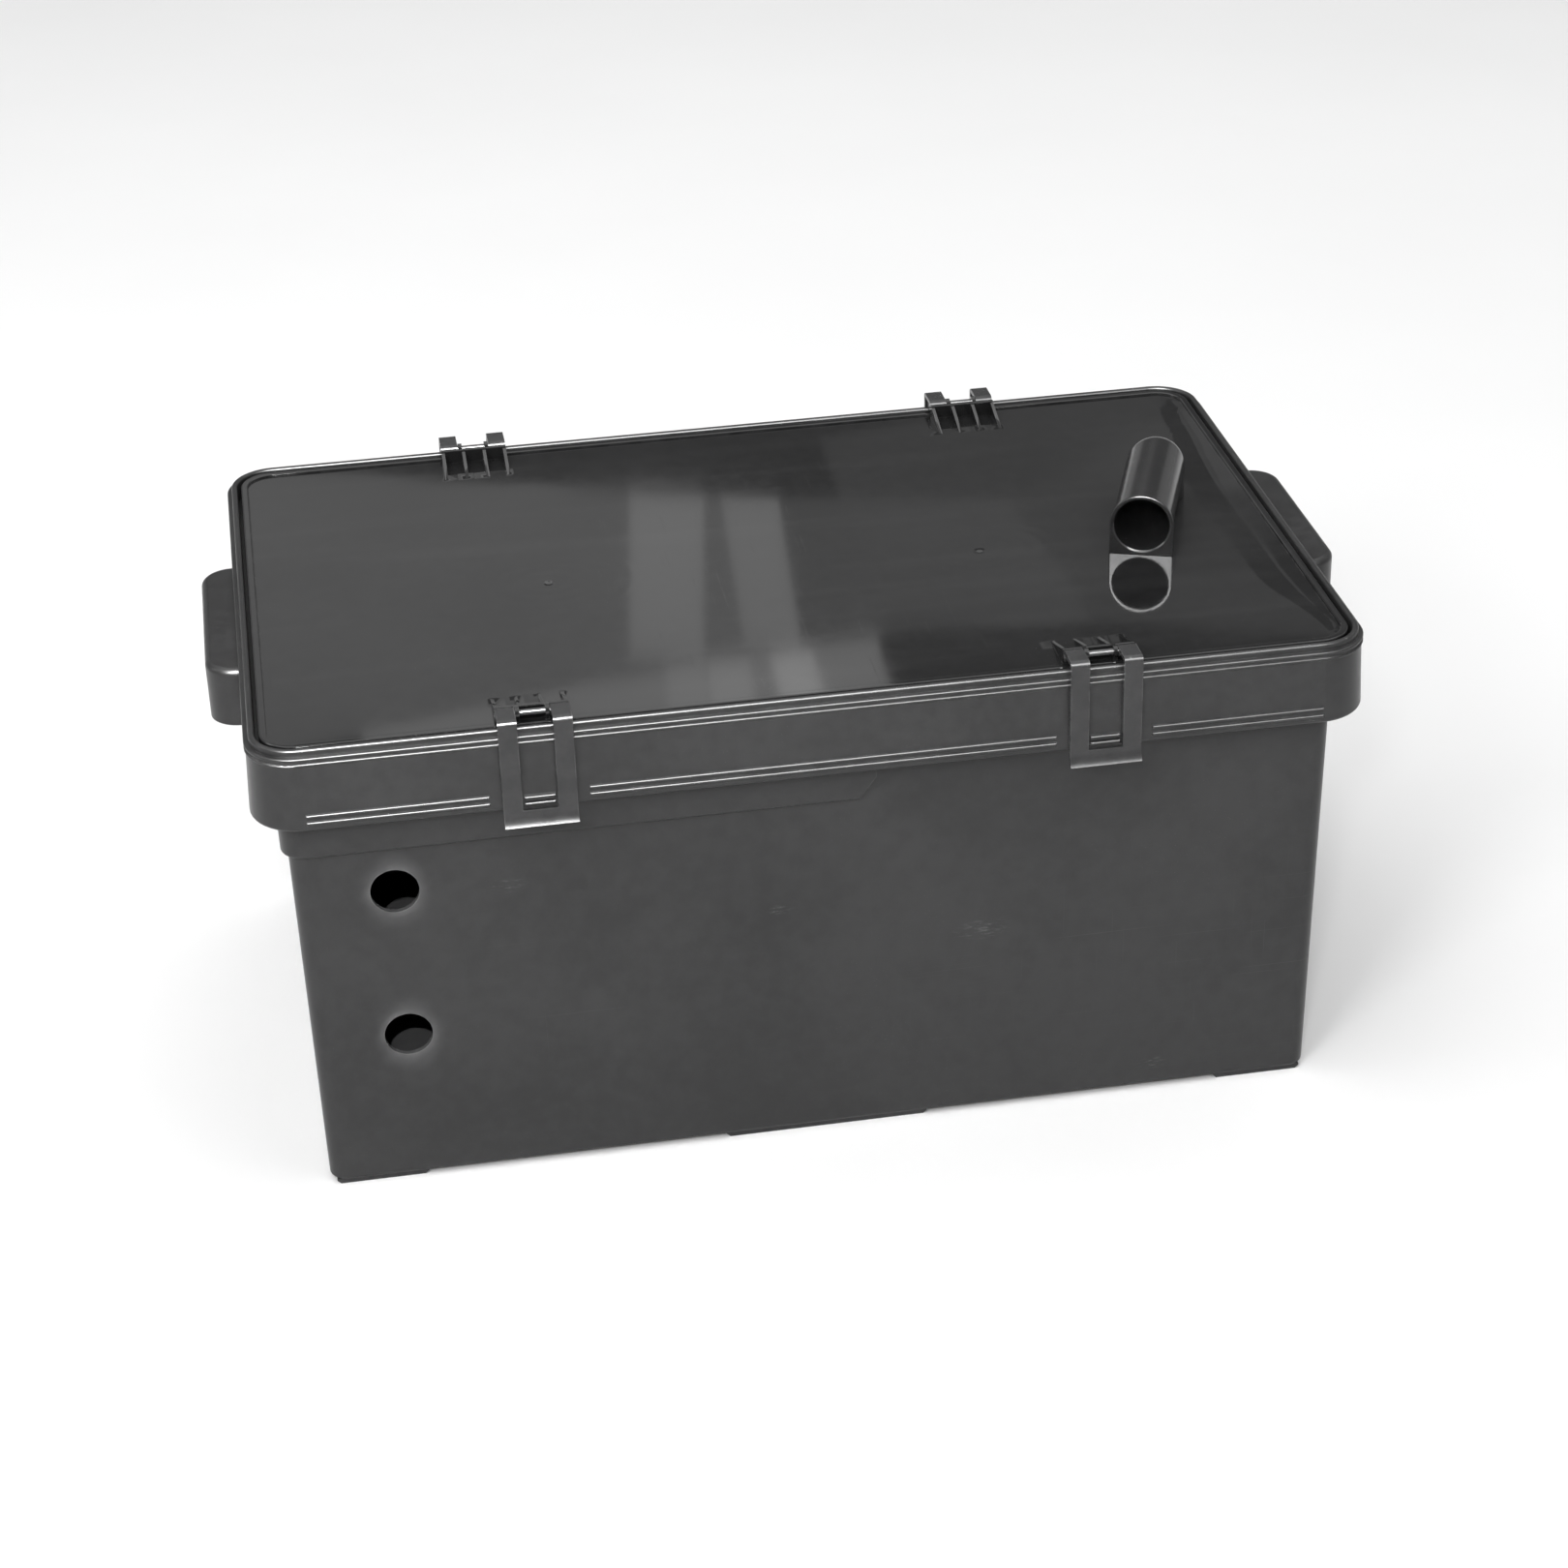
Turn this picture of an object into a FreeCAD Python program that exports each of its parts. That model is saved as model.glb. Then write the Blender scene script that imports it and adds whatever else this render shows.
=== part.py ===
import FreeCAD, Part
import os
from math import cos, radians, sin, tan

# Vented battery box: an open tub with a turned-down rim, a lid that drops inside the rim,
# four swinging latches on the lid and a turnable vent hood.
# Frame: millimetres, +Z up, -Y is the front. The origin is under the middle of the box,
# on the surface that it stands on.

# Rim of the tub
LENGTH = 643.0            # over the skirt, along X
DEPTH = 396.5             # over the skirt, along Y
LIP_TOP = 306.6           # height of the rim above the floor
RIM_RADIUS = 28.3         # plan radius of the skirt's corners
SKIRT_DROP = 49.9         # skirt's lower edge below the lip
SKIRT_FLARE = 2.0         # lean of the skirt's faces, out at the foot
SKIRT_WALL = 3.0
SKIRT_ROUND = 2.6
SHOULDER_DROP = 4.1       # shoulder outside the lip
BEAD_DROPS = (0.0, 3.4)   # two beads, below the shoulder
BEAD_HEIGHT = 2.2
BEAD_PROUD = 1.1
BEAD_ROUND = 1.0
LIP_OUTER = 1.8           # insets from the skirt's face
LIP_INNER = 5.5
LIP_ROUND = 1.6
SEAT_DROP = 13.0          # ledge that carries the lid
SEAT_WALL = 3.0

# Walls and floor of the tub
WALL = 3.2
END_INSET = 16.2          # skirt's face to the wall, at the skirt's lower edge
SIDE_INSET = 18.1
WALL_SLOPE = tan(radians(0.8))
WALL_RADIUS = 10.0
FLOOR = 3.6
BOTTOM_ROUND = 3.0
FOOT_HEIGHT = 2.5
FOOT_DEPTH = 42.0
FOOT_BACK = 1.2           # behind the wall's face
FOOT_CHAMFER = 2.2
FOOT_SPANS = [(-298.0, -243.0), (-62.0, 62.0), (243.0, 298.0)]

# Thicker band under the left half of the skirt
BAND_PROUD = 4.0
BAND_DROP = 76.9
BAND_END = 21.5
BAND_CORNER_X = 11.0
BAND_CORNER_Z = 14.5
BAND_ROUND = 2.4

# Double rail near the skirt's lower edge, with a gap for each latch
RAIL_SPANS = [(-292.5, -190.4), (-134.2, 134.2), (190.4, 292.5)]
RAIL_DROPS = (39.0, 43.3)
RAIL_HEIGHT = 2.2
RAIL_PROUD = 1.5
RAIL_ROUND = 1.0

# Conduit knock-outs in the front wall
HOLE_X = -247.3
HOLE_RADIUS = 14.1
HOLE_DROPS = [106.0, 204.4]

# Lifting hoods on the two ends
HANDLE_LENGTH = 143.0
HANDLE_PROUD = 20.6
HANDLE_TOP = 9.8
HANDLE_FOOT = 46.0
HANDLE_CORNER = 18.0
HANDLE_ROUND = 4.0
HOLLOW_ROUND = 1.0

# Lid
LID_GAP = 2.3             # between the lip and the lid's edge
PANEL_DROP = 2.3
PANEL_WALL = 3.0
EDGE_WIDTH = 4.7          # raised strip round the panel
EDGE_DROP = 0.8
EDGE_ROUND = 1.0
LID_WALL = 3.0
SEAL_THICKNESS = 2.0
SEAL_INSETS = (8.2, 15.0)

# Latches, their pins and the blocks that hold them
LATCH_X = 162.4
LATCH_WIDTH = 41.9
LEG_WIDTH = 10.9
LATCH_WALL = 2.4
LATCH_STANDOFF = 2.8      # skirt's face to the leg
LATCH_TOP = 7.8           # above the lip
LATCH_FOOT = 59.5         # below the lip
WINDOW_FOOT = 49.0
KICK_ANGLE = 34.0         # lean of the finger bar at its foot
LATCH_BEND = 3.4
PIVOT_INSET = 11.0
PIVOT_RISE = 4.5
PIN_RADIUS = 1.8
PIN_CLEARANCE = 0.05
EYE_RADIUS = 3.3
SIDE_PLAY = 0.3
LUG_WIDTH = 2.5
LUG_BACK = 2.0            # behind the lid's edge
WEB_RISE = 2.3            # above the pin's axis
BLOCK_INSET = 15.5
BLOCK_WALL = 2.5
BLOCK_RISE = 6.5
RIDGE_ROUND = 0.8
RIB_THICKNESS = 2.0
RIB_LENGTH = 26.0
RIB_HEAD = 1.5            # level top of a rib before it slopes down
RIB_STEP = 1.0            # below the ridge of its block
RIB_PLACES = [-19.9, -6.7, 6.7, 19.9]
CATCH_WIDTH = 17.6
CATCH_PROUD = 2.5
CATCH_DROPS = (41.0, 44.8)
PIN_SHORT = 0.4           # less than the latch is wide
PIN_CHAMFER = 0.3

# Vent hood: a tube lying on the lid, with a collar at its mouth, over a spigot through the lid
VENT_X = 253.5
VENT_Y = 30.8
VENT_TURN = 20.5          # mouth turned from the front towards the left end
VENT_GAP = 0.3
VENT_OUTER = 18.2
VENT_BORE = 16.8
VENT_REACH = 90.0         # spigot's axis to the mouth
VENT_AXIS = 19.0          # tube's axis above the hood's underside
COLLAR_OUTER = 19.4
COLLAR_LENGTH = 3.2
COLLAR_ROUND = 0.8
MOUTH_CHAMFER = 0.8
SPIGOT_OUTER = 15.5
SPIGOT_BORE = 13.0
SPIGOT_DEPTH = 17.0
SPIGOT_CLEARANCE = 0.1
NUT_OUTER = 23.0
NUT_HEIGHT = 8.0
NUT_CHAMFER = 1.0
NUT_GRIPS = 12
NUT_GRIP_RADIUS = 2.6

HALF_X = LENGTH / 2
HALF_Y = DEPTH / 2
WALL_TOP = LIP_TOP - SEAT_DROP
SKIRT_FOOT = LIP_TOP - SKIRT_DROP
LID_INSET = LIP_INNER + LID_GAP
PANEL_TOP = LIP_TOP - PANEL_DROP
PANEL_UNDER = PANEL_TOP - PANEL_WALL
PIVOT_Z = LIP_TOP + PIVOT_RISE
PIVOT_Y = HALF_Y - PIVOT_INSET
ENDS = {"left": -1, "right": 1}
SIDES = {"front": -1, "rear": 1}
NEAR = 0.01               # two lengths closer than this are the same
BITE = 0.5                # overlap that joins two shapes, or lets a cutter pass through
PAST = 1.0
FAR = LENGTH              # longer than anything that it cuts
EIGHTH_TURN = radians(45)
X_AXIS = FreeCAD.Vector(1, 0, 0)
Y_AXIS = FreeCAD.Vector(0, 1, 0)
Z_AXIS = FreeCAD.Vector(0, 0, 1)


def point(x, y, z):
    return FreeCAD.Vector(x, y, z)


def block(x_low, x_high, y_low, y_high, z_low, z_high):
    corner = point(x_low, y_low, z_low)
    return Part.makeBox(x_high - x_low, y_high - y_low, z_high - z_low, corner)


def fuse_all(shapes):
    return shapes[0].fuse(shapes[1:]).removeSplitter()


def edges_where(shape, test):
    return [edge for edge in shape.Edges if test(edge.BoundBox)]


def is_upright(box):
    return box.ZLength > PAST and box.XLength < NEAR and box.YLength < NEAR


def is_level_at(box, height):
    return abs(box.ZMin - height) < NEAR and abs(box.ZMax - height) < NEAR


def rounded_slab(inset, z_low, z_high):
    """The rim's plan outline, inset from the skirt's face, as a plate."""
    x = HALF_X - inset
    y = HALF_Y - inset
    plate = block(-x, x, -y, y, z_low, z_high)
    return plate.makeFillet(RIM_RADIUS - inset, edges_where(plate, is_upright))


def rounded_ring(inset_outer, inset_inner, z_low, z_high):
    hole = rounded_slab(inset_inner, z_low - PAST, z_high + PAST)
    return rounded_slab(inset_outer, z_low, z_high).cut(hole)


def rounded_outline(x, y, radius, z):
    """A level rectangle with round corners, as a wire."""
    middle = radius * (1 - cos(EIGHTH_TURN))
    runs = [
        ((x, radius - y), (x, y - radius)),
        ((x - radius, y), (radius - x, y)),
        ((-x, y - radius), (-x, radius - y)),
        ((radius - x, -y), (x - radius, -y)),
    ]
    bends = [(x - middle, y - middle), (middle - x, y - middle),
             (middle - x, middle - y), (x - middle, middle - y)]
    edges = []
    for index, (start, end) in enumerate(runs):
        after = runs[(index + 1) % len(runs)][0]
        edges.append(Part.makeLine(point(*start, z), point(*end, z)))
        bend = Part.Arc(point(*end, z), point(*bends[index], z), point(*after, z))
        edges.append(bend.toShape())
    return Part.Wire(edges)


def drafted_body(shift, radius, z_low, z_high):
    """The tub's tapering outline between two heights, moved in from the wall's outer face."""
    outlines = []
    for z in (z_low, z_high):
        taper = shift + (SKIRT_FOOT - z) * WALL_SLOPE
        x = HALF_X - END_INSET - taper
        y = HALF_Y - SIDE_INSET - taper
        outlines.append(rounded_outline(x, y, radius, z))
    return Part.makeLoft(outlines, True, True)


def flared_slab(inset, z_low, z_high):
    """The rim's outline between two heights, leaning out as the skirt does."""
    outlines = []
    for z in (z_low, z_high):
        out = flare_at(LIP_TOP - z) - inset
        outlines.append(rounded_outline(HALF_X + out, HALF_Y + out, RIM_RADIUS + out, z))
    return Part.makeLoft(outlines, True, True)


def flare_at(drop):
    return SKIRT_FLARE * (drop - SHOULDER_DROP) / (SKIRT_DROP - SHOULDER_DROP)


def inside_of_tub():
    return drafted_body(WALL, WALL_RADIUS - WALL, FOOT_HEIGHT + FLOOR, LIP_TOP)


def tub_body():
    body = drafted_body(0, WALL_RADIUS, FOOT_HEIGHT, WALL_TOP)
    under = edges_where(body, lambda box: is_level_at(box, FOOT_HEIGHT))
    return body.makeFillet(BOTTOM_ROUND, under)


def tub_band():
    foot = LIP_TOP - BAND_DROP
    band = drafted_body(-BAND_PROUD, WALL_RADIUS + BAND_PROUD, foot, WALL_TOP - PAST)
    under = edges_where(band, lambda box: is_level_at(box, foot))
    band = band.makeFillet(BAND_ROUND, under)
    corner = BAND_END + BAND_CORNER_X
    outline = [(-HALF_X, foot), (BAND_END, foot), (corner, foot + BAND_CORNER_Z),
               (corner, LIP_TOP), (-HALF_X, LIP_TOP), (-HALF_X, foot)]
    region = Part.makePolygon([point(x, -HALF_Y, z) for x, z in outline])
    return band.common(Part.Face(region).extrude(Y_AXIS * DEPTH))


def bead_ring(top):
    """A half-round bead all round the skirt, below this height."""
    bead = rounded_ring(-BEAD_PROUD, SKIRT_WALL, top - BEAD_HEIGHT, top)
    outer = edges_where(bead, lambda box: reaches(box, -BEAD_PROUD) and box.ZLength < NEAR)
    return bead.makeFillet(BEAD_ROUND, outer)


def tub_rim():
    shoulder = LIP_TOP - SHOULDER_DROP
    seat_under = WALL_TOP - SEAT_WALL
    beads = [bead_ring(shoulder - drop) for drop in BEAD_DROPS]
    lip = rounded_ring(LIP_OUTER, LIP_INNER, shoulder, LIP_TOP)
    lip = lip.makeFillet(LIP_ROUND, edges_where(lip, lambda box: is_level_at(box, LIP_TOP)))
    seat = rounded_slab(LIP_INNER - PAST, seat_under, WALL_TOP).cut(inside_of_tub())
    skirt = flared_slab(0, SKIRT_FOOT, shoulder)
    skirt = skirt.makeFillet(SKIRT_ROUND, edges_where(skirt, lambda box: is_level_at(box, SKIRT_FOOT)))
    under = flared_slab(SKIRT_WALL, SKIRT_FOOT - PAST, seat_under)
    rebate = rounded_slab(LIP_INNER, seat_under, shoulder + PAST)
    return fuse_all([*beads, lip, seat, skirt.cut(under).cut(rebate)])


def reaches(box, inset):
    """Whether an edge lies on the plan outline at this inset."""
    far_x = max(abs(box.XMin), abs(box.XMax))
    far_y = max(abs(box.YMin), abs(box.YMax))
    on_end = abs(far_x - (HALF_X - inset)) < NEAR
    on_side = abs(far_y - (HALF_Y - inset)) < NEAR
    return on_end or on_side


def handle_block(shell, top, foot):
    """A rounded block on the right end: the hood's outside, or its hollow one wall in."""
    x_far = HALF_X + HANDLE_PROUD - shell
    y_far = HANDLE_LENGTH / 2 - shell
    root = HALF_X - SKIRT_WALL - BITE if shell else HALF_X - SKIRT_WALL
    hood = block(root, x_far, -y_far, y_far, foot, top)
    corners = edges_where(hood, lambda box: is_upright(box) and box.XMax > x_far - PAST)
    hood = hood.makeFillet(HANDLE_CORNER - shell, corners)
    rim = edges_where(hood, lambda box: is_level_at(box, top) and box.XMax > root + PAST)
    return hood.makeFillet(max(HANDLE_ROUND - shell, HOLLOW_ROUND), rim)


def with_handles(tub):
    hood = handle_block(0, LIP_TOP - HANDLE_TOP, LIP_TOP - HANDLE_FOOT)
    hollow = handle_block(SKIRT_WALL, LIP_TOP - HANDLE_TOP - SKIRT_WALL, SKIRT_FOOT - PAST)
    for end in ENDS.values():
        angle = 0 if end > 0 else 180
        turned = [shape.rotated(point(0, 0, 0), Z_AXIS, angle) for shape in (hood, hollow)]
        tub = tub.fuse(turned[0]).cut(turned[1])
    return tub.removeSplitter()


def on_skirt(x_low, x_high, proud, drop_top, drop_foot, rounding, side):
    """A block standing proud of the skirt's front or rear face, with its edges rounded."""
    root = HALF_Y - PAST
    face = HALF_Y + flare_at((drop_top + drop_foot) / 2) + proud
    bar = block(x_low, x_high, -face, -root, LIP_TOP - drop_foot, LIP_TOP - drop_top)
    front = edges_where(bar, lambda box: box.YMax < NEAR - face)
    bar = bar.makeFillet(rounding, front)
    if side > 0:
        bar = bar.mirror(point(0, 0, 0), Y_AXIS)
    return bar


def rails_and_catches():
    parts = []
    for side in SIDES.values():
        for low, high in RAIL_SPANS:
            for drop in RAIL_DROPS:
                parts.append(on_skirt(low, high, RAIL_PROUD, drop, drop + RAIL_HEIGHT, RAIL_ROUND, side))
        for end in ENDS.values():
            low = end * LATCH_X - CATCH_WIDTH / 2
            high = low + CATCH_WIDTH
            for drop in CATCH_DROPS:
                parts.append(on_skirt(low, high, CATCH_PROUD, drop, drop + RAIL_HEIGHT, RAIL_ROUND, side))
    return parts


def feet():
    pads = []
    slack = SIDE_INSET + SKIRT_FOOT * WALL_SLOPE + FOOT_BACK
    for side in SIDES.values():
        for low, high in FOOT_SPANS:
            pad = block(low, high, slack - HALF_Y, slack + FOOT_DEPTH - HALF_Y, 0, FOOT_HEIGHT + PAST)
            under = edges_where(pad, lambda box: is_level_at(box, 0) and box.YLength > PAST)
            pad = pad.makeChamfer(FOOT_CHAMFER, under)
            if side > 0:
                pad = pad.mirror(point(0, 0, 0), Y_AXIS)
            pads.append(pad)
    return pads


def make_tub():
    tub = fuse_all([tub_body(), tub_band()]).cut(inside_of_tub())
    tub = fuse_all([tub, tub_rim()] + rails_and_catches() + feet())
    tub = with_handles(tub)
    for drop in HOLE_DROPS:
        start = point(HOLE_X, -HALF_Y, LIP_TOP - drop)
        tub = tub.cut(Part.makeCylinder(HOLE_RADIUS, SIDE_INSET * 3, start, Y_AXIS))
    return tub


def make_seal():
    foot = WALL_TOP
    return rounded_ring(*SEAL_INSETS, foot, foot + SEAL_THICKNESS)


def hinge_block():
    """Wall, ribs and pin lugs of a front latch, centred on X = 0."""
    inner = BLOCK_INSET + BLOCK_WALL
    top = LIP_TOP + BLOCK_RISE
    low = PANEL_TOP - PAST
    half = LATCH_WIDTH / 2
    wall = block(-half, half, BLOCK_INSET - HALF_Y, inner - HALF_Y, low, top)
    ridge = edges_where(wall, lambda box: is_level_at(box, top) and box.XLength > PAST)
    parts = [wall.makeFillet(RIDGE_ROUND, ridge)]
    y = inner - HALF_Y
    crest = top - RIB_STEP
    corners = [(y - BITE, low), (y + RIB_LENGTH, low), (y + RIB_LENGTH, PANEL_TOP),
               (y + RIB_HEAD, crest), (y - BITE, crest), (y - BITE, low)]
    for place in RIB_PLACES:
        x = place - RIB_THICKNESS / 2
        outline = Part.makePolygon([point(x, y_at, z_at) for y_at, z_at in corners])
        parts.append(Part.Face(outline).extrude(X_AXIS * RIB_THICKNESS))
    inner_leg = half - LEG_WIDTH - SIDE_PLAY
    for x in (inner_leg - LUG_WIDTH, -inner_leg):
        eye = Part.makeCylinder(EYE_RADIUS, LUG_WIDTH, point(x, -PIVOT_Y, PIVOT_Z), X_AXIS)
        y_back = BLOCK_INSET + BITE - HALF_Y
        web = block(x, x + LUG_WIDTH, -PIVOT_Y, y_back, PIVOT_Z - EYE_RADIUS, PIVOT_Z + WEB_RISE)
        y_root = LID_INSET + LUG_BACK - HALF_Y
        root = block(x, x + LUG_WIDTH, y_root, y_back, low, PIVOT_Z)
        parts += [eye, web, root]
    pin_hole = Part.makeCylinder(PIN_RADIUS, LATCH_WIDTH, point(-half, -PIVOT_Y, PIVOT_Z), X_AXIS)
    return fuse_all(parts).cut(pin_hole)


def at_latch(shape, side, end):
    """Move a shape made for a front latch at X = 0 to one of the four latch places."""
    if side > 0:
        shape = shape.mirror(point(0, 0, 0), Y_AXIS)
    return shape.translated(point(end * LATCH_X, 0, 0))


def make_lid():
    top = LIP_TOP - EDGE_DROP
    flange_foot = WALL_TOP + SEAL_THICKNESS
    edge = rounded_ring(LID_INSET, LID_INSET + EDGE_WIDTH, PANEL_UNDER, top)
    edge = edge.makeFillet(EDGE_ROUND, edges_where(edge, lambda box: is_level_at(box, top)))
    flange = rounded_ring(LID_INSET, LID_INSET + LID_WALL, flange_foot, PANEL_UNDER + PAST)
    panel = rounded_slab(LID_INSET + PAST, PANEL_UNDER, PANEL_TOP)
    block_shape = hinge_block()
    blocks = [at_latch(block_shape, side, end) for side in SIDES.values() for end in ENDS.values()]
    lid = fuse_all([panel, edge, flange] + blocks)
    hole_foot = point(VENT_X, VENT_Y, PANEL_UNDER - PAST)
    hole = Part.makeCylinder(SPIGOT_OUTER + SPIGOT_CLEARANCE, PANEL_WALL + 2 * PAST, hole_foot)
    return lid.cut(hole)


def arc(start, middle, end):
    return Part.Arc(point(0, *start), point(0, *middle), point(0, *end)).toShape()


def line(start, end):
    return Part.makeLine(point(0, *start), point(0, *end))


def kick(y, z, radius, angle):
    """A point on the finger bar's outward curve, which leaves the leg upright at (y, z)."""
    return y - radius * (1 - cos(angle)), z - radius * sin(angle)


def latch_profile():
    """Side outline of a front latch: arm over the rim, leg, and finger bar curling out."""
    face = -(HALF_Y + LATCH_STANDOFF + LATCH_WALL)
    back = face + LATCH_WALL
    top = LIP_TOP + LATCH_TOP
    under = top - LATCH_WALL
    knee = LIP_TOP - WINDOW_FOOT
    bend = LATCH_BEND
    inner_bend = bend - LATCH_WALL
    sweep = 1 - cos(EIGHTH_TURN)
    lean = radians(KICK_ANGLE)
    back_radius = (LATCH_FOOT - WINDOW_FOOT) / sin(lean)
    face_radius = back_radius - LATCH_WALL
    face_curve = [kick(face, knee, face_radius, lean * share) for share in (0.5, 1.0)]
    back_curve = [kick(back, knee, back_radius, lean * share) for share in (0.5, 1.0)]
    outline = [
        line((-PIVOT_Y, top), (face + bend, top)),
        arc((face + bend, top), (face + bend * sweep, top - bend * sweep), (face, top - bend)),
        line((face, top - bend), (face, knee)),
        arc((face, knee), *face_curve),
        line(face_curve[-1], back_curve[-1]),
        arc(back_curve[-1], back_curve[0], (back, knee)),
        line((back, knee), (back, under - inner_bend)),
        arc((back, under - inner_bend),
            (back + inner_bend * sweep, under - inner_bend * sweep),
            (back + inner_bend, under)),
        line((back + inner_bend, under), (-PIVOT_Y, under)),
        line((-PIVOT_Y, under), (-PIVOT_Y, top)),
    ]
    return Part.Face(Part.Wire(outline))


def make_latch():
    half = LATCH_WIDTH / 2
    strap = latch_profile().translated(point(-half, 0, 0)).extrude(X_AXIS * LATCH_WIDTH)
    eyes = Part.makeCylinder(EYE_RADIUS, LATCH_WIDTH, point(-half, -PIVOT_Y, PIVOT_Z), X_AXIS)
    latch = fuse_all([strap, eyes])
    inner = half - LEG_WIDTH
    window = block(-inner, inner, -FAR, 0, LIP_TOP - WINDOW_FOOT, FAR)
    pin_hole = Part.makeCylinder(PIN_RADIUS + PIN_CLEARANCE, LATCH_WIDTH + 2 * PAST,
                                 point(-half - PAST, -PIVOT_Y, PIVOT_Z), X_AXIS)
    return latch.cut(window).cut(pin_hole)


def make_pin():
    length = LATCH_WIDTH - PIN_SHORT
    pin = Part.makeCylinder(PIN_RADIUS, length, point(-length / 2, -PIVOT_Y, PIVOT_Z), X_AXIS)
    return pin.makeChamfer(PIN_CHAMFER, edges_where(pin, lambda box: box.XLength < NEAR))


def place_vent(shape):
    """From the hood's own frame, spigot at the origin and mouth to the front, to its place."""
    turned = shape.rotated(point(0, 0, 0), Z_AXIS, -VENT_TURN)
    return turned.translated(point(VENT_X, VENT_Y, PANEL_TOP + VENT_GAP))


def vent_passage():
    """The way through the hood, down to its underside."""
    mouth = point(0, -VENT_REACH - PAST, VENT_AXIS)
    return fuse_all([
        Part.makeCylinder(VENT_BORE, VENT_REACH + PAST, mouth, Y_AXIS),
        Part.makeSphere(VENT_BORE, point(0, 0, VENT_AXIS)),
    ])


def make_collar():
    """The mouth's collar: an arch on a square foot, chamfered inside and rounded outside."""
    mouth = point(0, -VENT_REACH, VENT_AXIS)
    front = -VENT_REACH
    collar = fuse_all([
        Part.makeCylinder(COLLAR_OUTER, COLLAR_LENGTH, mouth, Y_AXIS),
        block(-COLLAR_OUTER, COLLAR_OUTER, front, front + COLLAR_LENGTH, 0, VENT_AXIS),
    ])
    collar = collar.common(block(-FAR, FAR, front, 0, 0, FAR))
    arch = edges_where(collar, lambda box: box.YLength < NEAR and box.ZMax > VENT_AXIS + PAST)
    collar = collar.makeFillet(COLLAR_ROUND, arch)
    lead_in = Part.makeCone(VENT_BORE + MOUTH_CHAMFER, VENT_BORE, MOUTH_CHAMFER, mouth, Y_AXIS)
    return collar, lead_in


def make_vent_hood():
    collar, lead_in = make_collar()
    behind_collar = point(0, PAST - VENT_REACH, VENT_AXIS)
    hood = fuse_all([
        collar,
        Part.makeCylinder(VENT_OUTER, VENT_REACH - PAST, behind_collar, Y_AXIS),
        Part.makeCylinder(VENT_OUTER, VENT_AXIS),
        Part.makeSphere(VENT_OUTER, point(0, 0, VENT_AXIS)),
    ])
    socket = Part.makeCylinder(SPIGOT_OUTER, VENT_AXIS + PAST, point(0, 0, -PAST))
    return place_vent(hood.cut(vent_passage()).cut(socket).cut(lead_in))


def make_vent_spigot():
    """A tube fixed in the hood, its top end trimmed flush with the passage."""
    foot = point(0, 0, -SPIGOT_DEPTH)
    height = SPIGOT_DEPTH + VENT_AXIS
    tube = Part.makeCylinder(SPIGOT_OUTER, height, foot)
    tube = tube.cut(Part.makeCylinder(SPIGOT_BORE, height + PAST, foot)).cut(vent_passage())
    return place_vent(tube)


def make_vent_nut():
    top = -VENT_GAP - PANEL_WALL - VENT_GAP
    foot = top - NUT_HEIGHT
    nut = Part.makeCylinder(NUT_OUTER, NUT_HEIGHT, point(0, 0, foot))
    rims = edges_where(nut, lambda box: box.ZLength < NEAR)
    nut = nut.makeChamfer(NUT_CHAMFER, rims)
    through = NUT_HEIGHT + 2 * PAST
    nut = nut.cut(Part.makeCylinder(SPIGOT_OUTER, through, point(0, 0, foot - PAST)))
    for grip in range(NUT_GRIPS):
        angle = radians(360.0 * grip / NUT_GRIPS)
        reach = NUT_OUTER + NUT_GRIP_RADIUS / 2
        flute = point(reach * cos(angle), reach * sin(angle), foot - PAST)
        nut = nut.cut(Part.makeCylinder(NUT_GRIP_RADIUS, through, flute))
    return place_vent(nut)


def write(name, shape):
    solids = shape.Solids
    whole = solids[0] if len(solids) == 1 else shape
    whole.exportStep("parts/" + name + ".step")
    print(name, len(solids), whole.isValid(), round(whole.Volume))


def main():
    os.makedirs("parts", exist_ok=True)
    write("tub", make_tub())
    write("lid_seal", make_seal())
    write("lid", make_lid())
    write("vent_hood", make_vent_hood())
    write("vent_spigot", make_vent_spigot())
    write("vent_nut", make_vent_nut())
    latch = make_latch()
    pin = make_pin()
    for side_name, side in SIDES.items():
        for end_name, end in ENDS.items():
            place = side_name + "_" + end_name
            write("latch_" + place, at_latch(latch, side, end))
            write("latch_pin_" + place, at_latch(pin, side, end))


main()
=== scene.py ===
"""Looks for the battery box: materials, the lid's moulded warp, studio and camera around the CAD model."""

import math

import bmesh
import bpy
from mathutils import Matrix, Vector


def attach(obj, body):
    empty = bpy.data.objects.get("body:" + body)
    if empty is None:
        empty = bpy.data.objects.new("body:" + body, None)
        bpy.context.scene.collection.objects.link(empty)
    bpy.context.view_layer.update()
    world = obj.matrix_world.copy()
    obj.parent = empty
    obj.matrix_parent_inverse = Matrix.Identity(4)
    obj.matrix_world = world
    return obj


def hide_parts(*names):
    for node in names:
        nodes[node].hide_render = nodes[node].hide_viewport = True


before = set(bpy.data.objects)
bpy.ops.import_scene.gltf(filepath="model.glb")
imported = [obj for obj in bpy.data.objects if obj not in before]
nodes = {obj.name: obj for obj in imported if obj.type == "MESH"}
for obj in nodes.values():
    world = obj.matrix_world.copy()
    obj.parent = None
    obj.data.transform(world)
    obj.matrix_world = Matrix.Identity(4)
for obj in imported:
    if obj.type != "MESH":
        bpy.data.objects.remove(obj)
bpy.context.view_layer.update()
scene = bpy.context.scene

MM = 0.001

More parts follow.
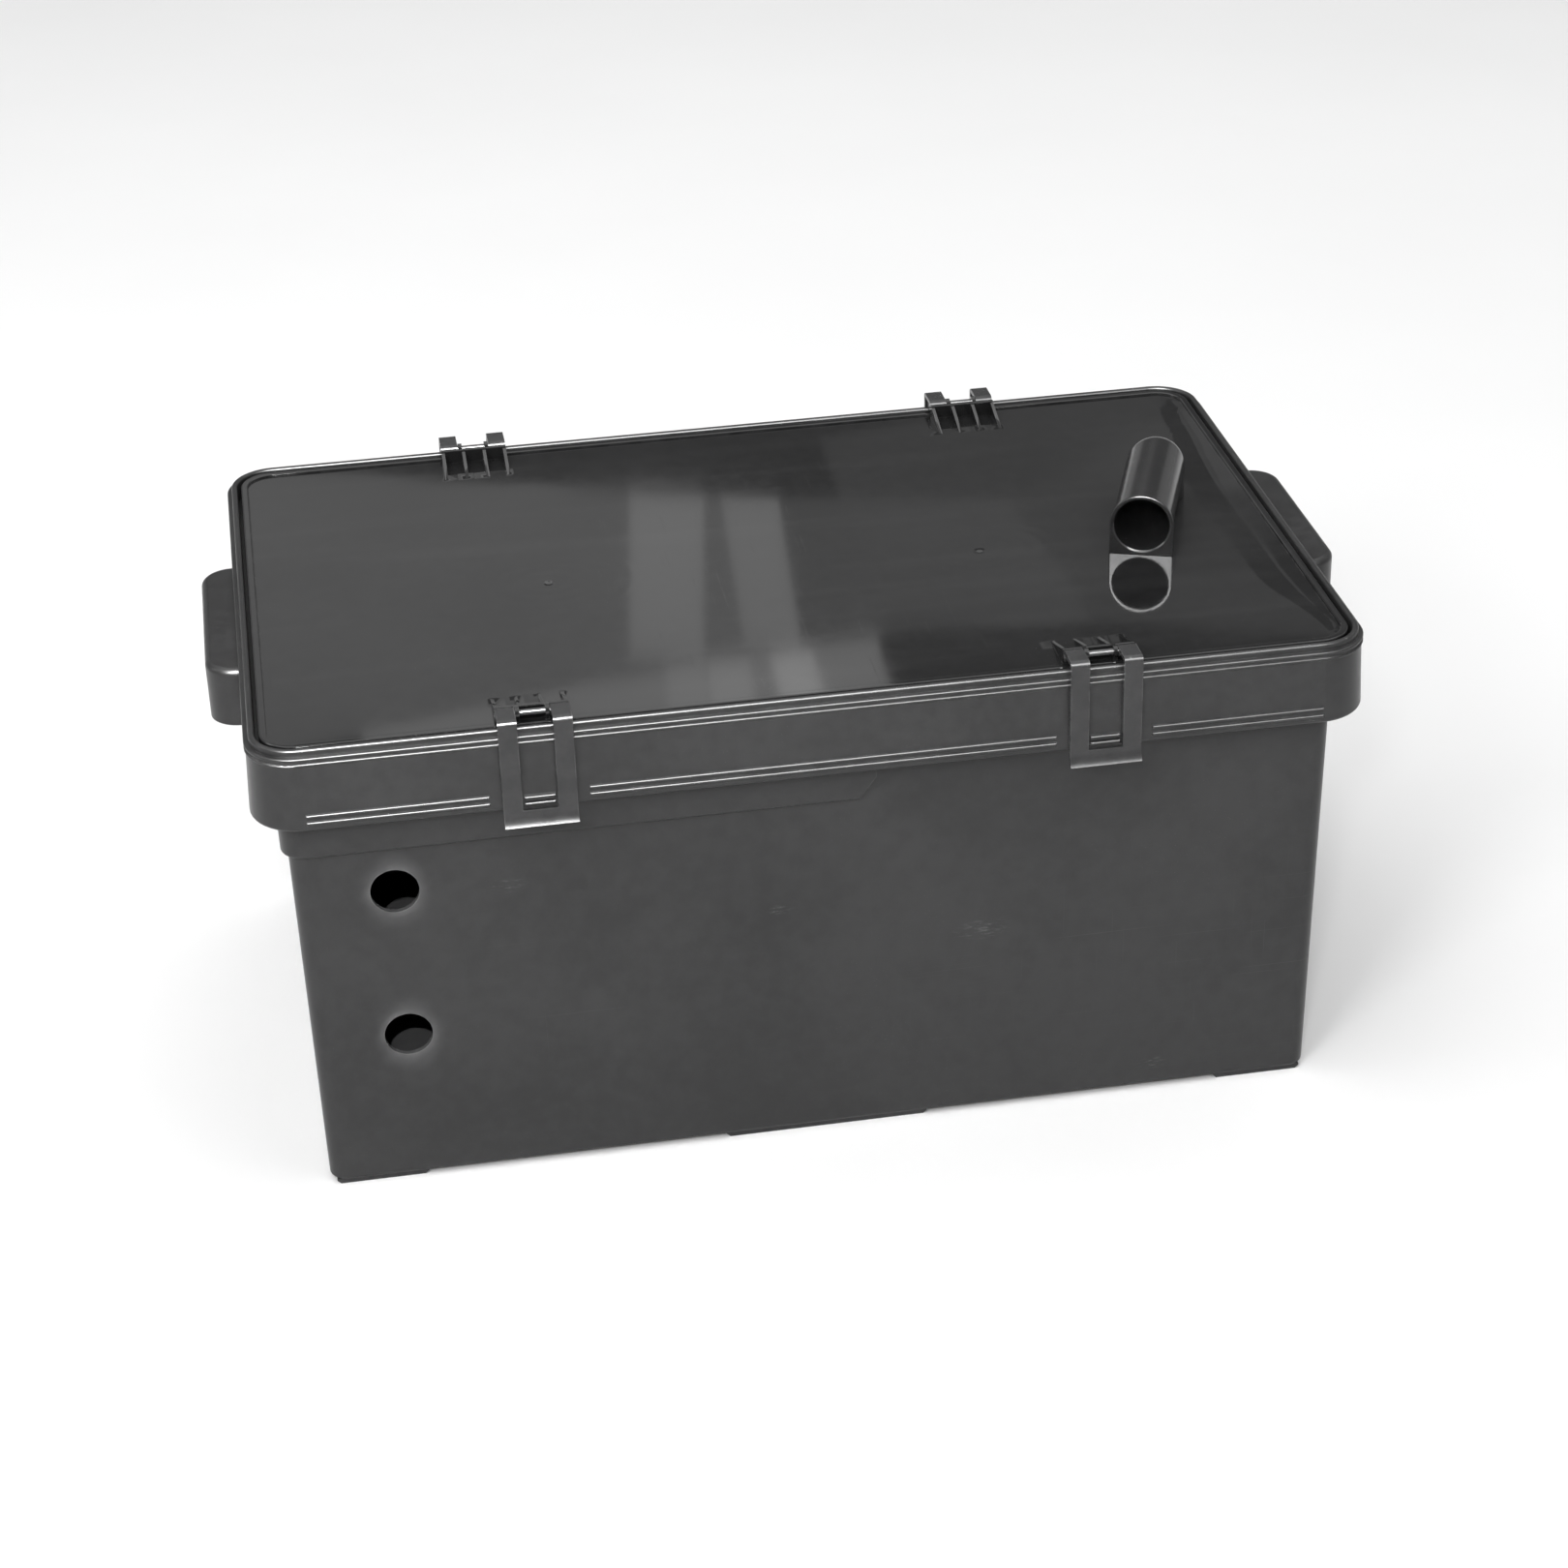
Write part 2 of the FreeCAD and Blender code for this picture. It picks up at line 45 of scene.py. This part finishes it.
# ---------------------------------------------------------------- places on the part, in millimetres
PANEL_TOP = 304.3
PANEL_BOTTOM = 301.3
PANEL_HALF_X = 309.0
PANEL_HALF_Y = 185.8
FRONT_WALL_Y = -179.0
LATCH_X = 162.4
HINGE_INSET = 46.0           # reach of a hinge block and its ribs from the panel's edge
HINGE_HALF = 34.0
VENT = (253.5, 30.8)
VENT_FOOT_RADIUS = 24.0
HANDLED = (253.5, -19.2)     # panel in front of the vent's mouth
GATES = ((-134.5, -11.6), (128.0, -26.1))
CONDUIT_HOLES = ((-247.3, 200.6), (-247.3, 102.2))
SCUFFS = ((-183, 196, 14, 6), (-26, 159, 10, 4), (96, 130, 22, 9), (203, 18, 12, 6))
CREASE = ((307.5, -184), (301.7, -168), (281.9, -88), (277.0, 34), (291.9, 143), (307.5, 186))

# ---------------------------------------------------------------- the lid's warp, in millimetres
SAG = 0.12
SAG_MARGIN = 90.0            # the sag fades out over this distance from the panel's edge
SAG_WAVE = 90.0
HINGE_MARGIN = 30.0
VENT_MARGIN = 50.0
TROUGH_FALL = 0.06           # slope down from the crease
TROUGH_RISE = 0.12           # slope back up to the panel's edge
TROUGH_TURN = 0.62           # share of the trough's width that falls
TROUGH_TOP = 0.6
TROUGH_MARGIN = 8.0
GATE_DEPTH = 0.25
GATE_SPREAD = 7.0
LEVEL = 0.02                 # two heights closer than this are the same

# ---------------------------------------------------------------- plastic finish
PALE = 0.30                  # grey of scratches, dust, worn edges and the painted highlight rings round the conduit holes
SCRATCH_DEPTH = 0.004 * MM
RIPPLE_DEPTH = 0.012 * MM
RIPPLE_PITCH = 640.0         # radians per metre


# ---------------------------------------------------------------- small shader helpers
class Shader:
    """A material under construction: adds nodes and joins them with few words."""

    def __init__(self, name):
        self.material = bpy.data.materials.new(name)
        self.material.use_nodes = True
        self.tree = self.material.node_tree
        self.bsdf = self.tree.nodes["Principled BSDF"]
        self.place = self.node("ShaderNodeTexCoord").outputs["Object"]

    def node(self, kind, **settings):
        made = self.tree.nodes.new(kind)
        for key, value in settings.items():
            setattr(made, key, value)
        return made

    def put(self, socket, value):
        if isinstance(value, bpy.types.NodeSocket):
            self.tree.links.new(value, socket)
        else:
            socket.default_value = value

    def math(self, operation, a, b=0.0, clamp=False):
        made = self.node("ShaderNodeMath", operation=operation, use_clamp=clamp)
        self.put(made.inputs[0], a)
        self.put(made.inputs[1], b)
        return made.outputs[0]

    def plus(self, a, b, clamp=False):
        return self.math("ADD", a, b, clamp)

    def times(self, a, b):
        return self.math("MULTIPLY", a, b)

    def stretched(self, scale, turn=0.0):
        made = self.node("ShaderNodeMapping")
        made.inputs["Scale"].default_value = scale
        made.inputs["Rotation"].default_value = (0.0, turn, turn)
        self.put(made.inputs["Vector"], self.place)
        return made.outputs[0]

    def noise(self, scale, detail=3.0, rough=0.5, place=None):
        made = self.node("ShaderNodeTexNoise")
        made.inputs["Scale"].default_value = scale
        made.inputs["Detail"].default_value = detail
        made.inputs["Roughness"].default_value = rough
        self.put(made.inputs["Vector"], place or self.place)
        return made.outputs["Fac"]

    def specks(self, scale, size):
        """Small dots, one in each cell, that fill this share of the cell."""
        made = self.node("ShaderNodeTexVoronoi")
        made.inputs["Scale"].default_value = scale
        self.put(made.inputs["Vector"], self.place)
        return self.ramp(made.outputs["Distance"], size, size * 0.5)

    def ramp(self, value, start, end, low=0.0, high=1.0):
        """Smooth step from low at start to high at end, whichever of the two is the larger."""
        made = self.node("ShaderNodeMapRange", interpolation_type="SMOOTHSTEP")
        self.put(made.inputs["Value"], value)
        ends = (start, end) if start < end else (end, start)
        outs = (low, high) if start < end else (high, low)
        made.inputs["From Min"].default_value = ends[0]
        made.inputs["From Max"].default_value = ends[1]
        made.inputs["To Min"].default_value = outs[0]
        made.inputs["To Max"].default_value = outs[1]
        return made.outputs["Result"]

    def reach(self, centre, squash=(1.0, 1.0, 1.0)):
        """Distance in metres from a point, with each axis weighed."""
        moved = self.node("ShaderNodeVectorMath", operation="SUBTRACT")
        self.put(moved.inputs[0], self.place)
        moved.inputs[1].default_value = centre
        weighed = self.node("ShaderNodeVectorMath", operation="MULTIPLY")
        self.put(weighed.inputs[0], moved.outputs[0])
        weighed.inputs[1].default_value = squash
        made = self.node("ShaderNodeVectorMath", operation="LENGTH")
        self.put(made.inputs[0], weighed.outputs[0])
        return made.outputs["Value"]

    def colour(self, value, dark, light):
        """Mix of two colours; either may be a socket."""
        made = self.node("ShaderNodeMix", data_type="RGBA")
        self.put(made.inputs["Factor"], value)
        self.put(made.inputs["A"], dark)
        self.put(made.inputs["B"], light)
        return made.outputs["Result"]

    def edges(self, radius):
        """Near 1 along convex and concave edges, 0 on faces."""
        bevel = self.node("ShaderNodeBevel", samples=4)
        bevel.inputs["Radius"].default_value = radius
        true = self.node("ShaderNodeNewGeometry")
        dot = self.node("ShaderNodeVectorMath", operation="DOT_PRODUCT")
        self.put(dot.inputs[0], bevel.outputs[0])
        self.put(dot.inputs[1], true.outputs["Normal"])
        return self.ramp(dot.outputs["Value"], 0.995, 0.90)

    def bump(self, height, depth, under=None):
        made = self.node("ShaderNodeBump")
        made.inputs["Strength"].default_value = 1.0
        made.inputs["Distance"].default_value = depth
        self.put(made.inputs["Height"], height)
        if under is not None:
            self.put(made.inputs["Normal"], under)
        return made.outputs["Normal"]


def grey(level):
    """Dark plastic's grey, a touch blue."""
    return (level, level, level * 1.02, 1.0)


def neutral(level):
    return (level, level, level, 1.0)


def moulded(name, base, rough, grain, grain_depth, wave_depth, wear, marks=None, specular=0.5):
    """Moulded plastic: mottled colour, grain, slow waviness, dust, hairline scratches and pale edges."""
    s = Shader(name)
    broad = s.noise(7.0, 3.0)
    mottle = s.noise(120.0, 4.0, 0.6)
    fine = s.noise(grain, 2.0, 0.6)
    tone = s.plus(s.times(broad, 0.6), s.times(mottle, 0.4))
    hair = s.noise(1.0, 2.0, 0.4, s.stretched((9.0, 9.0, 1500.0)))
    slant = s.noise(1.0, 2.0, 0.4, s.stretched((1300.0, 11.0, 14.0), 0.5))
    lines = s.plus(s.ramp(hair, 0.70, 0.78), s.ramp(slant, 0.71, 0.79), clamp=True)
    scratch = s.times(lines, s.ramp(s.noise(5.0, 2.0), 0.50, 0.68))
    dust = s.times(s.specks(330.0, 0.11), s.ramp(s.noise(14.0, 2.0), 0.50, 0.70))
    edge = s.times(s.edges(1.1 * MM), s.ramp(s.noise(60.0, 3.0), 0.35, 0.62))
    pale = s.plus(s.times(scratch, 0.12), s.times(dust, 0.22))
    pale = s.plus(pale, s.times(edge, wear), clamp=True)
    # extra marks: on the tub these are scuffs and also painted highlight rings round the conduit holes
    if marks is not None:
        pale = s.plus(pale, marks(s), clamp=True)
    body = s.colour(s.ramp(tone, 0.36, 0.64), grey(base * 0.86), grey(base * 1.16))
    s.put(s.bsdf.inputs["Base Color"], s.colour(s.times(pale, 0.5), body, neutral(PALE)))
    slow = s.ramp(broad, 0.35, 0.65, rough * 0.85, rough)
    shine = s.plus(slow, s.ramp(mottle, 0.35, 0.65, 0.0, rough * 0.15))
    s.put(s.bsdf.inputs["Roughness"], s.plus(shine, s.times(pale, 0.25), clamp=True))
    s.bsdf.inputs["IOR"].default_value = 1.5
    s.bsdf.inputs["Specular IOR Level"].default_value = specular
    normal = s.bump(s.noise(16.0, 1.0), wave_depth)
    normal = s.bump(mottle, grain_depth * 1.5, normal)
    normal = s.bump(fine, grain_depth, normal)
    s.put(s.bsdf.inputs["Normal"], s.bump(lines, SCRATCH_DEPTH, normal))
    return s


def tub_scuffs_and_hole_highlights(s):
    """Painted highlight rings round the conduit holes, where a chamfered edge would catch the light, and
    scuffs on the front wall.
    """
    total = None
    for x, z in CONDUIT_HOLES:
        away = s.reach((x * MM, FRONT_WALL_Y * MM, z * MM), (1.0, 0.15, 1.0))
        # a pale ring just outside each hole's edge: a painted highlight, not a mark on the plastic
        hole_highlight = s.ramp(away, 18.5 * MM, 15.0 * MM)
        hole_highlight = s.times(hole_highlight, s.ramp(s.noise(70.0, 3.0), 0.35, 0.65, 0.01, 0.08))
        total = hole_highlight if total is None else s.plus(total, hole_highlight)
    for x, z, wide, tall in SCUFFS:
        away = s.reach((x * MM, FRONT_WALL_Y * MM, z * MM), (1.0 / wide, 0.02, 1.0 / tall))
        streaks = s.noise(1.0, 4.0, 0.7, s.stretched((140.0, 140.0, 700.0), 0.35))
        patch = s.times(s.ramp(away, 1.0 * MM, 0.2 * MM), s.ramp(streaks, 0.50, 0.72))
        total = s.plus(total, s.times(patch, 0.5))
    return total


def lid_marks(s):
    """A pale dot at each gate, and faint haze in slow streaks."""
    haze = s.noise(1.0, 3.0, 0.5, s.stretched((3.0, 40.0, 3.0)))
    total = s.times(s.ramp(haze, 0.5, 0.75), 0.03)
    for x, y in GATES:
        dot = s.ramp(s.reach((x * MM, y * MM, PANEL_TOP * MM)), 2.6 * MM, 1.2 * MM)
        total = s.plus(total, s.times(dot, 0.35))
    return total


def add_ripples(s):
    """Faint flow rings in the gloss round each gate."""
    normal = s.bsdf.inputs["Normal"].links[0].from_socket
    for x, y in GATES:
        away = s.reach((x * MM, y * MM, PANEL_TOP * MM), (0.8, 1.0, 0.0))
        wave = s.math("SINE", s.times(away, RIPPLE_PITCH))
        fade = s.ramp(away, 52.0 * MM, 8.0 * MM)
        normal = s.bump(s.times(wave, fade), RIPPLE_DEPTH, normal)
    s.put(s.bsdf.inputs["Normal"], normal)


def dull_by_vent(s):
    """The gloss is rougher in front of the vent, where the panel was cut and handled."""
    shine = s.bsdf.inputs["Roughness"].links[0].from_socket
    away = s.reach((HANDLED[0] * MM, HANDLED[1] * MM, PANEL_TOP * MM), (1.0, 0.8, 0.0))
    dull = s.ramp(away, 75.0 * MM, 30.0 * MM, 0.0, 0.165)
    s.put(s.bsdf.inputs["Roughness"], s.plus(shine, dull))


def rubber(name):
    s = Shader(name)
    mottle = s.noise(220.0, 4.0, 0.6)
    s.put(s.bsdf.inputs["Base Color"], s.colour(mottle, grey(0.010), grey(0.022)))
    s.put(s.bsdf.inputs["Roughness"], s.ramp(s.noise(40.0, 3.0), 0.3, 0.7, 0.62, 0.78))
    s.put(s.bsdf.inputs["Normal"], s.bump(s.noise(1600.0, 2.0), 0.03 * MM))
    return s


def painted_floor():
    s = Shader("floor_paint")
    s.put(s.bsdf.inputs["Base Color"], s.colour(s.noise(3.0, 3.0), neutral(0.86), neutral(0.90)))
    s.bsdf.inputs["Roughness"].default_value = 0.9
    s.bsdf.inputs["Specular IOR Level"].default_value = 0.1
    return s


# name, base grey, roughness, grain scale, grain depth, wave depth, wear, marks, specular
tub_plastic = moulded("tub_plastic", 0.0215, 0.35, 1500.0, 0.012 * MM, 0.08 * MM, 0.25, tub_scuffs_and_hole_highlights, 0.32)
lid_plastic = moulded("lid_plastic", 0.014, 0.05, 900.0, 0.0002 * MM, 0.012 * MM, 0.25, lid_marks)
latch_plastic = moulded("latch_plastic", 0.040, 0.235, 1500.0, 0.008 * MM, 0.02 * MM, 0.35, None, 0.26)
vent_plastic = moulded("vent_plastic", 0.020, 0.16, 1500.0, 0.006 * MM, 0.02 * MM, 0.30)
pin_plastic = moulded("pin_plastic", 0.060, 0.22, 1800.0, 0.006 * MM, 0.01 * MM, 0.30)
seal_rubber = rubber("seal_rubber")
add_ripples(lid_plastic)
dull_by_vent(lid_plastic)
FINISHES = {
    "tub_plastic": tub_plastic,
    "lid_plastic": lid_plastic,
    "latch_plastic": latch_plastic,
    "vent_plastic": vent_plastic,
    "pin_plastic": pin_plastic,
    "seal_rubber": seal_rubber,
}


# ---------------------------------------------------------------- the lid, with its sag and its crease
def smooth(t):
    t = min(1.0, max(0.0, t))
    return t * t * (3.0 - 2.0 * t)


def crease_x(y):
    """Where the crease at the right-hand end crosses this y."""
    if y <= CREASE[0][1] or y >= CREASE[-1][1]:
        return CREASE[0][0]
    for (xa, ya), (xb, yb) in zip(CREASE, CREASE[1:]):
        if y <= yb:
            return xa + (xb - xa) * smooth((y - ya) / (yb - ya))
    return CREASE[-1][0]


def warp(x, y):
    """How far the panel stands above the drawn plane at this point, in millimetres."""
    inward = min(PANEL_HALF_X - abs(x), PANEL_HALF_Y - abs(y))
    hinge = min(HINGE_HALF - abs(abs(x) - LATCH_X), HINGE_INSET - (PANEL_HALF_Y - abs(y)))
    vent = math.hypot(x - VENT[0], y - VENT[1])
    clear = vent - VENT_FOOT_RADIUS
    free = smooth(inward / SAG_MARGIN) * smooth(-hinge / HINGE_MARGIN) * smooth(clear / VENT_MARGIN)
    sag = -SAG * free * (0.7 + 0.3 * math.cos(x / SAG_WAVE))
    past = max(0.0, x - crease_x(y))
    turn = TROUGH_TURN * (PANEL_HALF_X - crease_x(y))
    trough = -TROUGH_FALL * min(past, turn) + TROUGH_RISE * max(0.0, past - turn)
    trough *= smooth(clear / TROUGH_MARGIN)
    for gx, gy in GATES:
        sag -= GATE_DEPTH * math.exp(-(((x - gx) ** 2 + (y - gy) ** 2) / GATE_SPREAD))
    return sag + min(trough, TROUGH_TOP)


def cut_planes():
    """Grid lines for the panel: even steps, closer at the gates and at the crease."""
    xs = [-PANEL_HALF_X + 10.3 * i for i in range(57)]
    xs += [272.0 + 3.0 * i for i in range(12)]
    ys = [-PANEL_HALF_Y + 10.9 * i for i in range(1, 34)]
    for gx, gy in GATES:
        xs += [gx + 1.5 * i for i in range(-3, 4)]
        ys += [gy + 1.5 * i for i in range(-3, 4)]
    return xs, ys


def at_panel_height(z):
    """Whether this height in metres is that of either face of the panel."""
    return min(abs(z / MM - PANEL_TOP), abs(z / MM - PANEL_BOTTOM)) < LEVEL


def cut_panel(mesh, place, normal):
    """Cut the panel's two faces along one plane, so that they can bend there."""
    faces = [f for f in mesh.faces if all(at_panel_height(v.co.z) for v in f.verts)]
    edges = list({e for f in faces for e in f.edges})
    verts = list({v for f in faces for v in f.verts})
    bmesh.ops.bisect_plane(
        mesh, geom=faces + edges + verts, dist=1e-6, plane_co=Vector(normal) * place * MM, plane_no=normal
    )


def soften(obj, angle=30.0):
    """Smooth faces with the real edges left sharp, and normals weighed by face area."""
    mesh = bmesh.new()
    mesh.from_mesh(obj.data)
    for face in mesh.faces:
        face.smooth = True
    for edge in mesh.edges:
        edge.smooth = len(edge.link_faces) == 2 and edge.calc_face_angle(0.0) < math.radians(angle)
    mesh.to_mesh(obj.data)
    mesh.free()
    weigh = obj.modifiers.new("weighed", "WEIGHTED_NORMAL")
    weigh.keep_sharp = True


def warped_lid():
    """The CAD lid with its panel bent by warp(); it takes the place of the CAD lid."""
    mesh = bmesh.new()
    mesh.from_mesh(nodes["lid"].data)
    bmesh.ops.remove_doubles(mesh, verts=mesh.verts, dist=1e-6)
    xs, ys = cut_planes()
    for places, normal in ((xs, (1, 0, 0)), (ys, (0, 1, 0))):
        for place in places:
            cut_panel(mesh, place, normal)
    for vert in mesh.verts:
        x, y = vert.co.x / MM, vert.co.y / MM
        inside = abs(x) < PANEL_HALF_X and abs(y) < PANEL_HALF_Y
        if inside and at_panel_height(vert.co.z):
            vert.co.z += warp(x, y) * MM
    data = bpy.data.meshes.new("lid_moulded")
    mesh.to_mesh(data)
    mesh.free()
    made = bpy.data.objects.new("lid_moulded", data)
    scene.collection.objects.link(made)
    soften(made)
    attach(made, "lid")
    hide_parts("lid")
    return made


def finish_with(obj, shader):
    obj.data.materials.clear()
    obj.data.materials.append(shader.material)


for node in nodes.values():
    slot = node.data.materials[0].name.split(".")[0]
    finish_with(node, FINISHES[slot])
finish_with(warped_lid(), lid_plastic)

# ---------------------------------------------------------------- camera
CAMERA_PLACE = Vector((-0.27712, -1.83413, 1.18239))
CAMERA_TURN = (60.70353, 1.56509, -9.68255)
lens = bpy.data.cameras.new("camera")
lens.lens = 76.869
lens.sensor_width = 36.0
camera = bpy.data.objects.new("camera", lens)
camera.location = CAMERA_PLACE
camera.rotation_euler = [math.radians(a) for a in CAMERA_TURN]
scene.collection.objects.link(camera)
scene.camera = camera
scene.view_settings.view_transform = "Standard"


# ---------------------------------------------------------------- floor, and cards that the lid mirrors
def stage_mesh(name, corners, shader):
    data = bpy.data.meshes.new(name)
    data.from_pydata([Vector(c) for c in corners], [], [tuple(range(len(corners)))])
    made = bpy.data.objects.new(name, data)
    scene.collection.objects.link(made)
    data.materials.append(shader)
    return made


def glow(name, strength):
    made = bpy.data.materials.new(name)
    made.use_nodes = True
    tree = made.node_tree
    tree.nodes.clear()
    light = tree.nodes.new("ShaderNodeEmission")
    light.inputs["Strength"].default_value = strength
    out = tree.nodes.new("ShaderNodeOutputMaterial")
    tree.links.new(light.outputs[0], out.inputs["Surface"])
    return made


def unseen(obj):
    """Seen only in reflections: not by the camera, and it casts no shadow."""
    obj.visible_camera = False
    obj.visible_shadow = False


def card(name, panel_points, strength, wall):
    """A glowing card on the plane y = wall, which the lid mirrors between these points of its panel."""
    corners = []
    for x, y in panel_points:
        point = Vector((x * MM, y * MM, PANEL_TOP * MM))
        ray = point - CAMERA_PLACE
        ray.z = -ray.z
        corners.append(point + ray * ((wall - point.y) / ray.y))
    unseen(stage_mesh(name, corners, glow(name, strength)))


FLOOR = 40.0
FLOOR_CORNERS = ((-FLOOR, -FLOOR, 0), (FLOOR, -FLOOR, 0), (FLOOR, FLOOR, 0), (-FLOOR, FLOOR, 0))
stage_mesh("floor", FLOOR_CORNERS, painted_floor().material)

FLAG_WALL = 2.75
FLAG = ((-1.1, 0.85), (2.4, 0.85), (2.4, 2.4), (-1.1, 2.4))
unseen(stage_mesh("flag_dark", [(x, FLAG_WALL, z) for x, z in FLAG], glow("flag_dark", 0.12)))

# name, strength, corners on the lid's panel in millimetres
CARD_WALL = 2.72
CARD_STEP = 0.01
CARDS = (
    ("reflect_left", 0.58, (
        (-335, 222), (-246, 181), (-105, 119), (-39, 99), (21, 79),
        (1, -120), (-79, -134), (-182, -157), (-244, -178), (-335, -205),
    )),
    ("streak_left", 1.02, ((-70, 106), (-24, 93), (-56, -121), (-98, -112))),
    ("streak_right", 0.95, ((-14, 90), (21, 79), (1, -120), (-31, -113))),
    ("reflect_middle", 0.37, ((21, 79), (162, 45), (175, -130), (70, -115), (1, -120))),
    ("reflect_right", 0.28, ((162, 45), (300, 150), (297, 40), (330, -195), (175, -130))),
    ("reflect_rear", 0.24, ((60, 150), (300, 250), (300, 150), (162, 45), (60, 68))),
    ("front_wedge", 1.02, ((-257, -178), (-79, -134), (1, -120), (46, -117), (36, -260), (-257, -260))),
    ("front_bright_a", 1.25, ((-80, -129), (-57, -127), (-70, -240), (-92, -240))),
    ("front_bright_b", 1.45, ((-55, -126), (-31, -127), (-42, -240), (-68, -240))),
    ("front_bright_c", 1.85, ((-19, -127), (6, -125), (0, -240), (-26, -240))),
)
for index, (name, strength, points) in enumerate(CARDS):
    card(name, points, strength, CARD_WALL - CARD_STEP * index)

# ---------------------------------------------------------------- sky and lights
world = bpy.data.worlds.new("studio")
world.use_nodes = True
world.node_tree.nodes["Background"].inputs["Color"].default_value = neutral(1.0)
world.node_tree.nodes["Background"].inputs["Strength"].default_value = 0.42
scene.world = world


def light_object(name, data, place, target):
    made = bpy.data.objects.new(name, data)
    made.location = place
    made.rotation_euler = (Vector(target) - Vector(place)).to_track_quat("-Z", "Y").to_euler()
    scene.collection.objects.link(made)
    return made


def softbox(name, place, target, width, height, watts):
    data = bpy.data.lights.new(name, "AREA")
    data.shape = "RECTANGLE"
    data.size = width
    data.size_y = height
    data.energy = watts
    return light_object(name, data, place, target)


softbox("flash", (-0.36, -1.80, 1.38), (0.0, 0.0, 0.2), 0.14, 0.12, 9.0)
key = softbox("key", (-1.3, -1.8, 1.8), (-0.1, 0.0, 0.2), 0.7, 0.6, 22.0)
key.visible_glossy = False
softbox("overhead", (0.0, 0.6, 3.4), (0.0, 0.6, 0.0), 5.2, 5.2, 120.0)
softbox("left", (-2.6, 0.2, 1.7), (0.0, 0.0, 0.3), 0.9, 1.4, 12.0)
softbox("right", (2.6, 0.6, 1.6), (0.0, 0.0, 0.3), 0.7, 1.2, 1.0)

# two narrow beams, from just above the camera, that light only what lies behind the conduit holes
BEAM_PLACE = CAMERA_PLACE + Vector((-0.032, 0.053, 0.083))
BEAM_WATTS = 420.0
BEAM_SPREAD = math.radians(0.66)
for index, (x, z) in enumerate(CONDUIT_HOLES):
    beam = bpy.data.lights.new(f"snoot_{index}", "SPOT")
    beam.energy = BEAM_WATTS
    beam.shadow_soft_size = 0.006
    beam.spot_size = BEAM_SPREAD
    beam.spot_blend = 0.15
    light_object(f"snoot_{index}", beam, BEAM_PLACE, (x * MM, FRONT_WALL_Y * MM, z * MM))

# a row of lights for highlights on the rim and the latches: they light no matt surface, and not the lid
GLEAM_WATTS = (160.0, 260.0, 260.0, 185.0, 84.0, 40.0, 28.0)
GLEAM_FIRST_X = -1.35
GLEAM_STEP = 0.4
GLEAM_HEIGHT = 1.4
gleaming = bpy.data.collections.new("gleaming")
for name, node in nodes.items():
    if name != "lid":
        gleaming.objects.link(node)
for index, watts in enumerate(GLEAM_WATTS):
    x = GLEAM_FIRST_X + GLEAM_STEP * index
    light = softbox(f"gleam_{index}", (x, -1.9, 2.1), (0.3 * x, 0.0, 0.3), GLEAM_STEP, GLEAM_HEIGHT, watts)
    light.visible_diffuse = False
    light.light_linking.receiver_collection = gleaming
